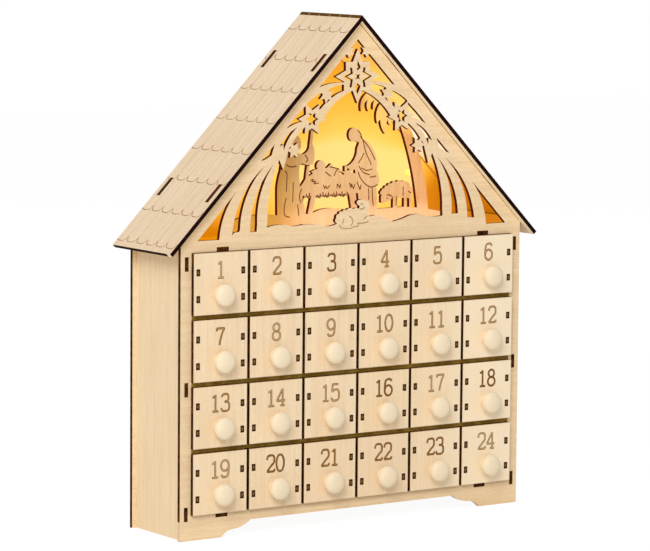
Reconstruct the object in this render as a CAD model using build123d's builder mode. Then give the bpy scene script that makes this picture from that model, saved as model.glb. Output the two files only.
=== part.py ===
from build123d import *
import math
import os

os.makedirs("parts", exist_ok=True)

# Driving dimensions, in millimetres. +X is right, +Y is back, +Z is up, and Z = 0 is the table.
PLY = 3.0  # thickness of every plywood panel
FIT = 0.1  # clearance on each side of a tab, a tenon or a halved joint
COLUMNS = 6
ROWS = 4
BAY_WIDTH = 44.4
BAY_HEIGHT = 44.4
SIDE_MARGIN = 9.3  # front panel beside the drawer opening
BASE_TOP = 17.9  # floor of the lowest bays
EAVE_RAIL = 8.5  # from the top of the drawer opening up to the eave
CASE_DEPTH = 67.0  # over the front and back panels
SIDE_INSET = 3.5  # side panel's outer face behind the front panel's edge
TAB = 10.0  # length of a panel's tab
SIDE_TAB_RISE = 19.0  # middle of the lowest side tab above the table
SIDE_TAB_DROP = 16.3  # middle of the highest side tab below the eave
FLOOR_TAB_INSET = 35.0  # middle of a floor's tab in from the panel's edge
SHELF_TAB_INSET = 55.2  # middle of a shelf's back tab in from the panel's edge
FOOT_LENGTH = 35.0  # flat under each foot of the front and back panels
FOOT_CURVE = 25.0  # length of the curve from a foot to the skirt
SKIRT_RISE = 10.5  # skirt between the feet above the table

ROOF_PITCH = 45.3  # degrees
EAVE_OVERHANG = 14.0  # along the slope
ROOF_FRONT = 5.0  # roof in front of the front panel
ROOF_BACK = 5.0  # roof behind the back panel
ROOF_TAB = 16.0  # length of a gable's tab along the slope
ROOF_TAB_UPPER = 44.2  # middle of the upper tab, down the slope from the ridge
ROOF_TAB_LOWER = 170.4

PLATE_OVERLAP = 0.4  # drawer plate over the bay's side walls
PLATE_TRIM = 0.25  # drawer plate short of the bay's floor and ceiling
RUNNING_GAP = 0.2  # drawer above its floor, and plate in front of the case
DRAWER_SIDE_GAP = 1.9  # between the drawer's side and the bay's wall
DRAWER_TOP_GAP = 8.0
DRAWER_BACK_GAP = 4.0
DRAWER_TAB = 4.8
DRAWER_TAB_HIGH = 8.4  # middle of a side's upper tab above the plate's middle
DRAWER_TAB_LOW = 10.5  # middle of a side's lower tab below the plate's middle
KNOB_RADIUS = 8.0
KNOB_LENGTH = 10.5
KNOB_NECK_RADIUS = 5.6
KNOB_TENON_RADIUS = 2.5
KNOB_DROP = 8.0  # knob's axis below the plate's middle

SCENE_SETBACK = 24.0  # figure panel behind the front panel's face
SCENE_HALF = 96.0  # half length of the figure panel's ground
SCENE_TAB_X = 60.0
HAY_ENDS = 17  # ragged ends of the hay under the manger
HAY_PITCH = 2.4

CELL_RADIUS = 5.25
CELL_LENGTH = 43.5
NUB_RADIUS = 1.9
NUB_LENGTH = 1.0
CELL_GAP = 0.6
CONTACT = 0.5  # thickness of a battery contact
BOX_FLOOR = 1.5
BOX_WALL = 2.0
BOX_DROP = 1.5  # battery box below the eave
DOOR = 1.4  # thickness of the battery door
DOOR_GROOVE = 1.0  # depth of the groove that the door slides in
DOOR_LIP = 1.0  # lip over that groove
SWITCH_BAY = 12.0
SWITCH_WIDTH = 4.0
SWITCH_LENGTH = 4.6
SWITCH_TRAVEL = 4.0
SWITCH_DEPTH = 3.0
LED_INSET = 58.0  # outer bulb in from the panel's edge
LED_SPREAD = 27.0  # inner bulb from the panel's middle
LED_RADIUS = 2.5
LED_REACH = 7.0  # bulb in front of the back panel
LED_SEAT = 4.0  # bulb inside its socket
SOCKET_RADIUS = 4.2
SOCKET_LENGTH = 7.0
WIRE_RADIUS = 0.7
LEAD_LENGTH = 5.6

# The gable that the fretwork and the figures are drawn for
ART_HALF = 150.0
ART_RISE = 151.6

# Sizes and places that follow from the driving dimensions
COLUMN_PITCH = BAY_WIDTH + PLY
ROW_PITCH = BAY_HEIGHT + PLY
GRID_WIDTH = COLUMNS * COLUMN_PITCH - PLY
GRID_HEIGHT = ROWS * ROW_PITCH - PLY
GRID_TOP = BASE_TOP + GRID_HEIGHT
HALF_WIDTH = GRID_WIDTH / 2 + SIDE_MARGIN
EAVE_HEIGHT = GRID_TOP + EAVE_RAIL
PITCH = math.radians(ROOF_PITCH)
GABLE_RISE = HALF_WIDTH * math.tan(PITCH)
RIDGE = EAVE_HEIGHT + GABLE_RISE
SIDE_INNER = HALF_WIDTH - SIDE_INSET - PLY
POCKET_LENGTH = CELL_LENGTH + NUB_LENGTH + 2 * CONTACT + 2 * FIT
POCKET_HEIGHT = 4 * CELL_RADIUS + CELL_GAP + 4 * FIT
POCKET_DEPTH = 2 * CELL_RADIUS + 5 * FIT
BOX_LENGTH = SWITCH_BAY + POCKET_LENGTH + BOX_WALL
BOX_HEIGHT = POCKET_HEIGHT + 2 * BOX_WALL
GROOVE = DOOR + 2 * FIT
BOX_DEPTH = BOX_FLOOR + POCKET_DEPTH + GROOVE + DOOR_LIP
FRONT_REACH = RUNNING_GAP + PLY + KNOB_LENGTH
BACK_REACH = CASE_DEPTH + max(BOX_DEPTH, ROOF_BACK)
FRONT_Y = (FRONT_REACH - BACK_REACH) / 2
BACK_Y = FRONT_Y + CASE_DEPTH
INNER_DEPTH = CASE_DEPTH - 2 * PLY
MID_Y = (FRONT_Y + BACK_Y) / 2
SCENE_Y = FRONT_Y + SCENE_SETBACK
SIDE_TABS = (
    SIDE_TAB_RISE,
    (SIDE_TAB_RISE + EAVE_HEIGHT - SIDE_TAB_DROP) / 2,
    EAVE_HEIGHT - SIDE_TAB_DROP,
)
FLOOR_TAB_X = HALF_WIDTH - FLOOR_TAB_INSET
SHELF_TAB_X = HALF_WIDTH - SHELF_TAB_INSET
SHELF_Z = [BASE_TOP + row * ROW_PITCH + BAY_HEIGHT for row in range(ROWS - 1)]
DIVIDER_X = [(column - COLUMNS / 2 + 1) * COLUMN_PITCH for column in range(COLUMNS - 1)]
BOX_BOTTOM = EAVE_HEIGHT - BOX_DROP
BOX_LEFT = -BOX_LENGTH / 2
POCKET_LEFT = BOX_LEFT + SWITCH_BAY
LED_Z = BOX_BOTTOM + BOX_HEIGHT + LEAD_LENGTH + SOCKET_RADIUS
LED_X = [LED_INSET - HALF_WIDTH, -LED_SPREAD, LED_SPREAD, HALF_WIDTH - LED_INSET]
SLOT = PLY + 2 * FIT


def upright(y, z=0.0):
    """Drawing plane seen from the front: X to the right, Y up, extruding towards the front."""
    return Plane(origin=(0, y, z), x_dir=(1, 0, 0), z_dir=(0, -1, 0))


def sideways(x):
    """Drawing plane seen from the right: X to the back, Y up, extruding to the right."""
    return Plane(origin=(x, 0, 0), x_dir=(0, 1, 0), z_dir=(1, 0, 0))


def save(part, name):
    """Label one finished piece and write its file."""
    part.label = name
    export_step(part, f"parts/{name}.step")


def art(x, z):
    """Place of a drawn point on this gable, up from the eave."""
    return (x * HALF_WIDTH / ART_HALF, z * GABLE_RISE / ART_RISE)


def outline(start, *steps):
    """Closed outline in drawn points: a point is a straight run, a pair is an arc through the first."""
    with BuildLine() as path:
        here = art(*start)
        for step in steps:
            if isinstance(step[0], tuple):
                there = art(*step[1])
                ThreePointArc(here, art(*step[0]), there)
            else:
                there = art(*step)
                Line(here, there)
            here = there
        if here != art(*start):
            Line(here, art(*start))
    return path.edges()


def star(x, z, points, outer, inner, turn=90.0, second=None):
    """Corners of a star, with every second arm as long as second where it is given."""
    arms = [outer, inner, second or outer, inner]
    corners = []
    for k in range(2 * points):
        angle = math.radians(turn + 180.0 * k / points)
        reach = arms[k % 4]
        corners.append(art(x + reach * math.cos(angle), z + reach * math.sin(angle)))
    return corners


def slope_tab(side, distance):
    """Middle and turn of a gable tab on the slope, side -1 for left and 1 for right."""
    middle = (side * distance * math.cos(PITCH), RIDGE - distance * math.sin(PITCH))
    return middle, -side * ROOF_PITCH


SLOPE_TABS = [slope_tab(side, s) for side in (-1, 1) for s in (ROOF_TAB_UPPER, ROOF_TAB_LOWER)]


def gable_edges():
    """Outline of the front and back panels: feet, sides and gable."""
    foot = HALF_WIDTH - FOOT_LENGTH
    skirt = foot - FOOT_CURVE
    bend = (foot - 0.36 * FOOT_CURVE, 0.48 * SKIRT_RISE)
    with BuildLine() as path:
        Line((0, SKIRT_RISE), (skirt, SKIRT_RISE))
        ThreePointArc((skirt, SKIRT_RISE), (foot - 0.76 * FOOT_CURVE, 0.66 * SKIRT_RISE), bend)
        ThreePointArc(bend, (foot - 0.12 * FOOT_CURVE, 0.26 * SKIRT_RISE), (foot, 0))
        Polyline((foot, 0), (HALF_WIDTH, 0), (HALF_WIDTH, EAVE_HEIGHT), (0, RIDGE))
        mirror(about=Plane.YZ)
    return path.edges()


# Front panel: feet, drawer opening, tab slots and the fretwork of the gable
with BuildPart() as front_panel:
    with BuildSketch(upright(FRONT_Y + PLY)):
        make_face(gable_edges())
        for middle, turn in SLOPE_TABS:
            with Locations(middle):
                Rectangle(ROOF_TAB, 2 * PLY, rotation=turn)
        with Locations((0, BASE_TOP + GRID_HEIGHT / 2)):
            Rectangle(GRID_WIDTH, GRID_HEIGHT, mode=Mode.SUBTRACT)
        for side in (-1, 1):
            with Locations([(side * (SIDE_INNER + PLY / 2), z) for z in SIDE_TABS]):
                Rectangle(SLOT, TAB + 2 * FIT, mode=Mode.SUBTRACT)
            with Locations((side * FLOOR_TAB_X, BASE_TOP - PLY / 2), (side * FLOOR_TAB_X, GRID_TOP + PLY / 2)):
                Rectangle(TAB + 2 * FIT, SLOT, mode=Mode.SUBTRACT)
    extrude(amount=PLY)
    with BuildSketch(upright(FRONT_Y + PLY, EAVE_HEIGHT)):
        # Windows of the right half: round the big star, along the arch, and among the tails
        make_face(outline((0, 138.6), (33.2, 104.9), ((24, 107.2), (13, 107.8)), (0, 110)))
        make_face(
            outline(
                (11.9, 106.3),
                ((20, 105), (28, 101.8)),
                (27.2, 93),
                (23.8, 95.9),
                ((18, 99.6), (11.9, 101.7)),
            )
        )
        make_face(
            outline(
                (29.2, 101.4),
                ((36.8, 98.4), (44.6, 93.2)),
                (39.6, 87.6),
                (32.6, 89),
                (26.6, 94.4),
            )
        )
        make_face(
            outline(
                (43.4, 93.4),
                ((53.2, 84.6), (61.6, 75.9)),
                ((55, 79), (47.6, 80.8)),
                (42.6, 85.4),
            )
        )
        make_face(
            outline(
                (52, 76.8),
                ((61.4, 71), (67.4, 63.2)),
                (64.1, 65.3),
                (63.8, 60.3),
                ((59.6, 68.9), (52, 76.8)),
            )
        )
        make_face(outline((71.5, 65.3), (83.2, 53.6), (78.8, 55.1), (74, 57.7)))
        make_face(outline((72.4, 51), ((87.4, 28.6), (91.9, 8.6)), (86, 8.6), ((84.2, 27.4), (72.4, 51))))
        make_face(
            outline(
                (79.6, 50.2),
                ((99, 28.7), (107, 4.8)),
                (100.6, 5.4),
                ((96.9, 25.2), (79.6, 50.2)),
            )
        )
        make_face(outline((104, 32.6), (136.2, -0.4), (118, -0.4), ((114, 16.5), (104, 32.6))))
        # Right half of the arch, above the ground
        make_face(
            outline(
                (0, 12),
                (77.4, 12),
                ((75.2, 33), (67.4, 54.4)),
                (58.2, 63),
                ((53.6, 69.4), (45.6, 76.8)),
                (38, 80),
                (31, 80.6),
                ((20.1, 92.8), (0, 103)),
            )
        )
        mirror(about=Plane.YZ)
        # The left tails reach lower than the right ones
        make_face(outline((-91.8, 9), (-92.2, 3.8), (-86.4, 3.8), (-86.1, 9)))
        make_face(outline((-106.4, 6.6), (-107.4, 2.2), (-105.2, 4.1), (-101.2, 4.4), (-100.7, 6.2)))
        # The arch down to its rolling ground
        make_face(
            outline(
                (77.4, 12.5),
                (77.7, 7.6),
                ((71, 7.2), (64, 7.9)),
                ((55.4, 9.8), (47, 9)),
                ((40, 6.8), (33, 5.4)),
                ((25.4, 8.2), (17, 10.7)),
                (12.8, 10.4),
                (-16.6, 6.3),
                ((-21, 5), (-26, 4.8)),
                ((-36, 6.4), (-46, 7.1)),
                ((-51, 6.3), (-56, 6.1)),
                ((-67, 7.8), (-77.8, 6.4)),
                (-77.4, 12.5),
            )
        )
        # Stars that stand in the windows
        Polygon(*star(0, 112, 8, 19.6, 11.2, second=14.7), align=None, mode=Mode.SUBTRACT)
        for side in (-1, 1):
            lean = 90 - 28 * side
            Polygon(*star(side * 7.8, 130, 6, 4.9, 2.7), align=None, mode=Mode.SUBTRACT)
            Polygon(*star(side * 27, 99, 6, 6.4, 3.3, 90 + 5 * side), align=None, mode=Mode.SUBTRACT)
            Polygon(*star(side * 39.4, 82.2, 6, 12, 6.4, lean), align=None, mode=Mode.SUBTRACT)
            Polygon(*star(side * 54.8, 60.5, 6, 6.4, 3.3, lean), align=None, mode=Mode.SUBTRACT)
            tips = ((59.6, 61.2), (64, 46.8), (67.6, 54.4), (66.6, 60.4), (62.6, 60.2))
            Polygon(*[art(side * x, z) for x, z in tips], align=None, mode=Mode.SUBTRACT)
            Polygon(*star(side * 39.4, 82.2, 6, 5.4, 2.9, lean), align=None)
        # Cuts inside the big star
        bow = ((7, 118.2), (6.2, 114.8), (12.8, 111.8), (6.2, 108.6), (7.2, 104))
        notch = ((5.2, 104), (4.2, 109.6), (9.4, 111.8), (4.2, 114), (5, 118.2))
        for side in (-1, 1):
            Polygon(*[art(side * x, z) for x, z in (*bow, *notch)], align=None)
        for kite in (
            ((0, 123.5), (2.6, 118.3), (0, 116), (-0.9, 117.2), (-0.5, 119.6)),
            ((0, 106.8), (2.7, 104.7), (0, 99), (-2.7, 104.7)),
        ):
            Polygon(*[art(x, z) for x, z in kite], align=None)
        Polygon(*star(0, 111.6, 4, 2.7, 1.2, 45), align=None)
        # Lamb lying on the ground, with its fleece in scallops
        make_face(
            outline(
                (-17, 3),
                (-16.6, 6.4),
                ((-18.6, 8.2), (-17.6, 10.3)),
                ((-17.4, 12.3), (-15.2, 12.8)),
                ((-14.4, 14.8), (-12.4, 14.4)),
                ((-10.8, 16), (-8.8, 15.4)),
                ((-5.6, 17), (-2.8, 16)),
                ((0, 16.8), (2.2, 15.9)),
                (3, 17.9),
                (1.2, 19.2),
                ((0.3, 21), (1.6, 22.2)),
                ((6, 22.6), (9.4, 21.4)),
                ((11.6, 19), (11.4, 16)),
                (10.2, 11.4),
                (12.6, 9.6),
                (13, 3),
            ),
            mode=Mode.SUBTRACT,
        )
    extrude(amount=PLY, mode=Mode.SUBTRACT)
save(front_panel.part, "front_panel")

# Back panel: the same outline, with tab slots and holes for the bulbs
with BuildPart() as back_panel:
    with BuildSketch(upright(BACK_Y)):
        make_face(gable_edges())
        for middle, turn in SLOPE_TABS:
            with Locations(middle):
                Rectangle(ROOF_TAB, 2 * PLY, rotation=turn)
        for side in (-1, 1):
            with Locations([(side * (SIDE_INNER + PLY / 2), z) for z in SIDE_TABS]):
                Rectangle(SLOT, TAB + 2 * FIT, mode=Mode.SUBTRACT)
            with Locations((side * FLOOR_TAB_X, BASE_TOP - PLY / 2), (side * FLOOR_TAB_X, GRID_TOP + PLY / 2)):
                Rectangle(TAB + 2 * FIT, SLOT, mode=Mode.SUBTRACT)
            with Locations([(side * SHELF_TAB_X, z + PLY / 2) for z in SHELF_Z]):
                Rectangle(TAB + 2 * FIT, SLOT, mode=Mode.SUBTRACT)
        with Locations([(x, LED_Z) for x in LED_X]):
            Circle(LED_RADIUS + FIT, mode=Mode.SUBTRACT)
    extrude(amount=PLY)
save(back_panel.part, "back_panel")

# Side panels, tabbed into the front and back panels
SIDE_TOP = EAVE_HEIGHT + SIDE_INSET * math.tan(PITCH)
for name, x in (("left_side_panel", -SIDE_INNER - PLY), ("right_side_panel", SIDE_INNER)):
    with BuildPart() as side_panel:
        with BuildSketch(sideways(x)):
            with Locations((MID_Y, SIDE_TOP / 2)):
                Rectangle(INNER_DEPTH, SIDE_TOP)
            with Locations([(MID_Y, z) for z in SIDE_TABS]):
                Rectangle(CASE_DEPTH, TAB)
        extrude(amount=PLY)
    save(side_panel.part, name)

# Base panel and scene floor, tabbed into the front and back panels
for name, z in (("base_panel", BASE_TOP - PLY), ("scene_floor", GRID_TOP)):
    with BuildPart() as floor_panel:
        with BuildSketch(Plane.XY.offset(z)):
            with Locations((0, MID_Y)):
                Rectangle(2 * SIDE_INNER, INNER_DEPTH)
            with Locations((-FLOOR_TAB_X, MID_Y), (FLOOR_TAB_X, MID_Y)):
                Rectangle(TAB, CASE_DEPTH)
            if name == "scene_floor":
                with Locations([(side * SCENE_TAB_X, SCENE_Y + PLY / 2) for side in (-1, 1)]):
                    Rectangle(TAB + 2 * FIT, SLOT, mode=Mode.SUBTRACT)
        extrude(amount=PLY)
    save(floor_panel.part, name)

# Shelves and dividers, halved into each other, with their front edges flush with the front panel
GRID_BACK = BACK_Y - PLY
GRID_DEPTH = GRID_BACK - FRONT_Y
GRID_MID = FRONT_Y + GRID_DEPTH / 2
for number, z in enumerate(SHELF_Z, start=1):
    with BuildPart() as shelf:
        with BuildSketch(Plane.XY.offset(z)):
            with Locations((0, MID_Y)):
                Rectangle(2 * SIDE_INNER, INNER_DEPTH)
            with Locations((0, GRID_MID)):
                Rectangle(GRID_WIDTH - 2 * FIT, GRID_DEPTH)
            with Locations([(side * SHELF_TAB_X, BACK_Y - PLY) for side in (-1, 1)]):
                Rectangle(TAB, 2 * PLY)
            with Locations([(x, GRID_MID + GRID_DEPTH / 4) for x in DIVIDER_X]):
                Rectangle(SLOT, GRID_DEPTH / 2 + 2 * FIT, mode=Mode.SUBTRACT)
        extrude(amount=PLY)
    save(shelf.part, f"shelf_{number}")

for number, x in enumerate(DIVIDER_X, start=1):
    with BuildPart() as divider:
        with BuildSketch(sideways(x - PLY / 2)):
            with Locations((GRID_MID, BASE_TOP + GRID_HEIGHT / 2)):
                Rectangle(GRID_DEPTH, GRID_HEIGHT)
            with Locations([(GRID_MID - GRID_DEPTH / 4, z + PLY / 2) for z in SHELF_Z]):
                Rectangle(GRID_DEPTH / 2 + 2 * FIT, SLOT, mode=Mode.SUBTRACT)
        extrude(amount=PLY)
    save(divider.part, f"divider_{number}")

# Roof panels: the right one laps over the left one's top edge, and the gable tabs come through both
EAVE_RUN = EAVE_OVERHANG * math.cos(PITCH)
EAVE_DROP = EAVE_OVERHANG * math.sin(PITCH)
EAVE_INNER = (HALF_WIDTH + EAVE_RUN, EAVE_HEIGHT - EAVE_DROP)
EAVE_OUTER = (EAVE_INNER[0] + PLY * math.sin(PITCH), EAVE_INNER[1] + PLY * math.cos(PITCH))
LAP = PLY / math.sin(2 * PITCH)
LAP_CORNER = (-LAP * math.cos(PITCH), RIDGE + LAP * math.sin(PITCH))
RIDGE_CORNER = (0, RIDGE + PLY / math.cos(PITCH))
LEFT_INNER = (-EAVE_INNER[0], EAVE_INNER[1])
LEFT_OUTER = (-EAVE_OUTER[0], EAVE_OUTER[1])
ROOF_DEPTH = ROOF_FRONT + CASE_DEPTH + ROOF_BACK
for name, side, corners in (
    ("left_roof_panel", -1, (LEFT_INNER, (0, RIDGE), LAP_CORNER, LEFT_OUTER)),
    ("right_roof_panel", 1, (EAVE_INNER, LAP_CORNER, RIDGE_CORNER, EAVE_OUTER)),
):
    with BuildPart() as roof_panel:
        with BuildSketch(upright(BACK_Y + ROOF_BACK)):
            Polygon(*corners, align=None)
        extrude(amount=ROOF_DEPTH)
        for y in (FRONT_Y, BACK_Y - PLY):
            with BuildSketch(upright(y + PLY + FIT)):
                for distance in (ROOF_TAB_UPPER, ROOF_TAB_LOWER):
                    middle, turn = slope_tab(side, distance)
                    with Locations(middle):
                        Rectangle(ROOF_TAB + 2 * FIT, 3 * PLY, rotation=turn)
            extrude(amount=SLOT, mode=Mode.SUBTRACT)
    save(roof_panel.part, name)

# Figure panel: ground, standing figure with a staff, manger, bending figure, sheep and palm
SCENE_FOOT = PLY - EAVE_RAIL
with BuildPart() as nativity_panel:
    with BuildSketch(upright(SCENE_Y + PLY, EAVE_HEIGHT)):
        with Locations((0, SCENE_FOOT / 2 + 0.5)):
            Rectangle(2 * SCENE_HALF, 1 - SCENE_FOOT)
        with Locations([(side * SCENE_TAB_X, SCENE_FOOT - PLY / 2 + 0.5) for side in (-1, 1)]):
            Rectangle(TAB, PLY + 1)
        make_face(
            outline(
                (-94, 0),
                (-94, 9),
                ((-78, 12.4), (-61.9, 13.2)),
                ((-42, 11.2), (-21.7, 12.2)),
                ((-12, 14.8), (0, 14)),
                ((30, 12.8), (60, 13)),
                ((78, 11), (94, 8)),
                (94, 0),
            )
        )
        # Standing figure and its slanting staff
        make_face(
            outline(
                (-52.7, 11),
                (-53, 28),
                ((-52.2, 37), (-50, 44)),
                ((-47.6, 52), (-43, 57)),
                (-35, 56.4),
                (-31.5, 55.1),
                ((-26.8, 57.4), (-24.8, 62.6)),
                (-22.4, 62),
                ((-20.4, 53), (-22, 47.4)),
                (-33.6, 47.2),
                ((-33.4, 34), (-30.4, 22)),
                (-28, 11),
            )
        )
        with Locations(art(-37.2, 62.6)):
            Ellipse(4.8, 6.6)
        make_face(outline((-23.2, 76), (-20.8, 76), (-26.2, 34), (-28.8, 34)))
        # Manger, with the child on its hay
        make_face(
            outline(
                (-33.6, 24.6),
                ((-33.8, 30), (-31, 33.6)),
                (-28.4, 37),
                (-25, 39.2),
                (-21.8, 40.8),
                (-23.4, 42.4),
                (-20, 43.6),
                (-11.6, 44.4),
                (-3.6, 44.4),
                ((1.2, 43.6), (4.2, 41.4)),
                (17, 40),
                ((20.8, 33), (20, 26.6)),
                (18.2, 25),
            )
        )
        with Locations(art(-14.8, 46.2)):
            Circle(3.9)
        make_face(outline((-10.4, 43.6), (-8.8, 45), ((-7.6, 46), (-5.9, 47.5)), (-4.9, 47), (-3.6, 43.6)))
        for step in range(HAY_ENDS):
            x = -30.4 + HAY_PITCH * step
            tip = 22.6 + 0.5 * (step * 2 % 3)
            make_face(outline((x, 25.4), (x + 0.3, tip), (x + 1.4, tip + 0.4), (x + 1.8, 25.4)))
        make_face(outline((-22.9, 26), (-18.9, 26), (-21.8, 12), (-26, 12)))
        make_face(outline((9.9, 27), (16, 27), (18, 12), (12.8, 12)))
        # Bending figure, with both hands over the hay
        make_face(
            outline(
                (13, 72.7),
                ((18, 71.6), (20.8, 66.6)),
                (22, 65),
                ((29.6, 59.4), (34.4, 50)),
                ((35.4, 46), (34.6, 42.2)),
                ((36.2, 38.6), (37.4, 34)),
                ((37, 31.2), (34.8, 29)),
                (36, 12),
                (20, 12),
                (17, 34),
                (16.2, 39),
                (6.2, 39.4),
                (6.2, 45.2),
                (9.4, 45.4),
                ((14.9, 50), (17.1, 57.6)),
                (19, 62),
                (15, 63.4),
            )
        )
        with Locations(art(13.6, 67.8)):
            Ellipse(4.1, 5)
        for gap in (
            ((0.6, 41), (3.8, 40.8), (5.7, 40.2), (5.5, 38.8), (2.5, 39.4)),
            ((6.9, 43.2), (10.2, 43.4), (10.3, 41.8), (7.4, 42)),
            ((10.8, 41), (15.6, 42.4), (15.8, 39.4), (13, 39.8)),
        ):
            Polygon(*[art(x, z) for x, z in gap], align=None, mode=Mode.SUBTRACT)
        # Standing sheep, with its fleece in scallops
        make_face(
            outline(
                (39.2, 17),
                (39, 21),
                (39.7, 22.6),
                ((38.4, 24.4), (39.8, 25.9)),
                ((41, 27.4), (42.4, 27)),
                ((43.2, 29.2), (45, 28.9)),
                ((46.4, 30.9), (48.4, 30.4)),
                ((50.4, 32.2), (52.6, 31.3)),
                ((55.2, 32.8), (57.8, 31.6)),
                ((60.2, 32.2), (62, 30.6)),
                ((64.6, 30.4), (65.4, 28)),
                ((67.8, 25.6), (66.6, 22)),
                (67.4, 11),
                (65, 11),
                (64.8, 19),
                (62.4, 19.6),
                (62.4, 11),
                (60, 11),
                (60, 19.6),
                (54.6, 20),
                (53.4, 11),
                (50, 11),
                (50, 20.4),
                ((46, 18), (41, 16.4)),
            )
        )
        # Palm trunk and its drooping leaves
        make_face(
            outline(
                (72.1, 11),
                ((67.6, 37.4), (56.4, 72)),
                (54, 86),
                (63, 86),
                (64.6, 72),
                ((77.6, 38), (82.3, 9)),
            )
        )
        make_face(
            outline(
                (58, 83),
                ((46.5, 94.6), (27.5, 98.8)),
                ((20.6, 92.6), (20.3, 84.6)),
                ((22.4, 89.6), (26.4, 93)),
                ((25.3, 88.6), (26.8, 84.4)),
                ((28.4, 89.4), (32.4, 92.6)),
                ((31.1, 89), (31.2, 85.6)),
                ((33.4, 88.8), (38.2, 90.6)),
                ((34.1, 83), (35, 75.3)),
                ((36.2, 76.9), (37.7, 78.2)),
                ((38.8, 72.6), (42, 67.4)),
                ((42.8, 74), (45.4, 79.6)),
                ((44.6, 77), (47.6, 73.6)),
                ((48.8, 79), (52, 82.4)),
            )
        )
    extrude(amount=PLY)
save(nativity_panel.part, "nativity_panel")

# Pieces of one drawer, about the middle of its plate
PLATE_WIDTH = BAY_WIDTH + 2 * PLATE_OVERLAP
PLATE_HEIGHT = BAY_HEIGHT - 2 * PLATE_TRIM
PLATE_BACK = FRONT_Y - RUNNING_GAP
PLATE_FRONT = PLATE_BACK - PLY
DRAWER_HALF = BAY_WIDTH / 2 - DRAWER_SIDE_GAP
DRAWER_BOTTOM = RUNNING_GAP - BAY_HEIGHT / 2
DRAWER_TOP = BAY_HEIGHT / 2 - DRAWER_TOP_GAP
DRAWER_HEIGHT = DRAWER_TOP - DRAWER_BOTTOM
DRAWER_MID = (DRAWER_TOP + DRAWER_BOTTOM) / 2
DRAWER_END = GRID_BACK - DRAWER_BACK_GAP
DRAWER_LENGTH = DRAWER_END - PLATE_BACK
DRAWER_TABS = (DRAWER_TAB_HIGH, -DRAWER_TAB_LOW)

with BuildPart() as plate:
    with BuildSketch(upright(PLATE_BACK)):
        Rectangle(PLATE_WIDTH, PLATE_HEIGHT)
        for side in (-1, 1):
            with Locations([(side * (DRAWER_HALF - PLY / 2), z) for z in DRAWER_TABS]):
                Rectangle(SLOT, DRAWER_TAB + 2 * FIT, mode=Mode.SUBTRACT)
        with Locations((0, -KNOB_DROP)):
            Circle(KNOB_TENON_RADIUS + FIT, mode=Mode.SUBTRACT)
    extrude(amount=PLY)
plate.part.label = "front_plate"

drawer_sides = []
for name, x in (("left_side", -DRAWER_HALF), ("right_side", DRAWER_HALF - PLY)):
    with BuildPart() as drawer_side:
        with BuildSketch(sideways(x)):
            with Locations((PLATE_BACK + DRAWER_LENGTH / 2, DRAWER_MID)):
                Rectangle(DRAWER_LENGTH, DRAWER_HEIGHT)
            with Locations([(PLATE_BACK, z) for z in DRAWER_TABS]):
                Rectangle(2 * PLY, DRAWER_TAB)
            with Locations([(DRAWER_END - PLY / 2, z) for z in DRAWER_TABS]):
                Rectangle(SLOT, DRAWER_TAB + 2 * FIT, mode=Mode.SUBTRACT)
        extrude(amount=PLY)
    drawer_side.part.label = name
    drawer_sides.append(drawer_side.part)

with BuildPart() as drawer_back:
    with BuildSketch(upright(DRAWER_END)):
        with Locations((0, DRAWER_MID)):
            Rectangle(2 * (DRAWER_HALF - PLY), DRAWER_HEIGHT)
        with Locations([(0, z) for z in DRAWER_TABS]):
            Rectangle(2 * DRAWER_HALF, DRAWER_TAB)
    extrude(amount=PLY)
drawer_back.part.label = "back"

with BuildPart() as drawer_floor:
    with BuildSketch(Plane.XY.offset(DRAWER_BOTTOM)):
        with Locations((0, PLATE_BACK + (DRAWER_LENGTH - PLY) / 2)):
            Rectangle(2 * (DRAWER_HALF - PLY), DRAWER_LENGTH - PLY)
    extrude(amount=PLY)
drawer_floor.part.label = "floor"

KNOB_WAIST = 0.2 * KNOB_LENGTH
KNOB_WIDEST = 0.52 * KNOB_LENGTH
with BuildPart() as knob:
    with BuildSketch(Plane.XY.offset(-KNOB_DROP)):
        with BuildLine():
            Polyline(
                (0, PLATE_BACK),
                (KNOB_TENON_RADIUS, PLATE_BACK),
                (KNOB_TENON_RADIUS, PLATE_FRONT),
                (KNOB_NECK_RADIUS, PLATE_FRONT),
                (KNOB_NECK_RADIUS, PLATE_FRONT - KNOB_WAIST),
            )
            Spline(
                (KNOB_NECK_RADIUS, PLATE_FRONT - KNOB_WAIST),
                (KNOB_RADIUS, PLATE_FRONT - KNOB_WIDEST),
                (0, PLATE_FRONT - KNOB_LENGTH),
                tangents=[(1, -0.5), (-1, 0)],
            )
            Line((0, PLATE_FRONT - KNOB_LENGTH), (0, PLATE_BACK))
        make_face()
    revolve(axis=Axis((0, 0, -KNOB_DROP), (0, 1, 0)))
knob.part.label = "knob"

# The drawers, numbered along the rows from the top left
drawer_pieces = [plate.part, *drawer_sides, drawer_back.part, drawer_floor.part, knob.part]
for row in range(ROWS):
    for column in range(COLUMNS):
        x = (column - (COLUMNS - 1) / 2) * COLUMN_PITCH
        z = BASE_TOP + (ROWS - 1 - row) * ROW_PITCH + BAY_HEIGHT / 2
        bay = Location((x, 0, z))
        drawer = Compound(children=[piece.moved(bay) for piece in drawer_pieces])
        save(drawer, f"drawer_{row * COLUMNS + column + 1:02d}")

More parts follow.
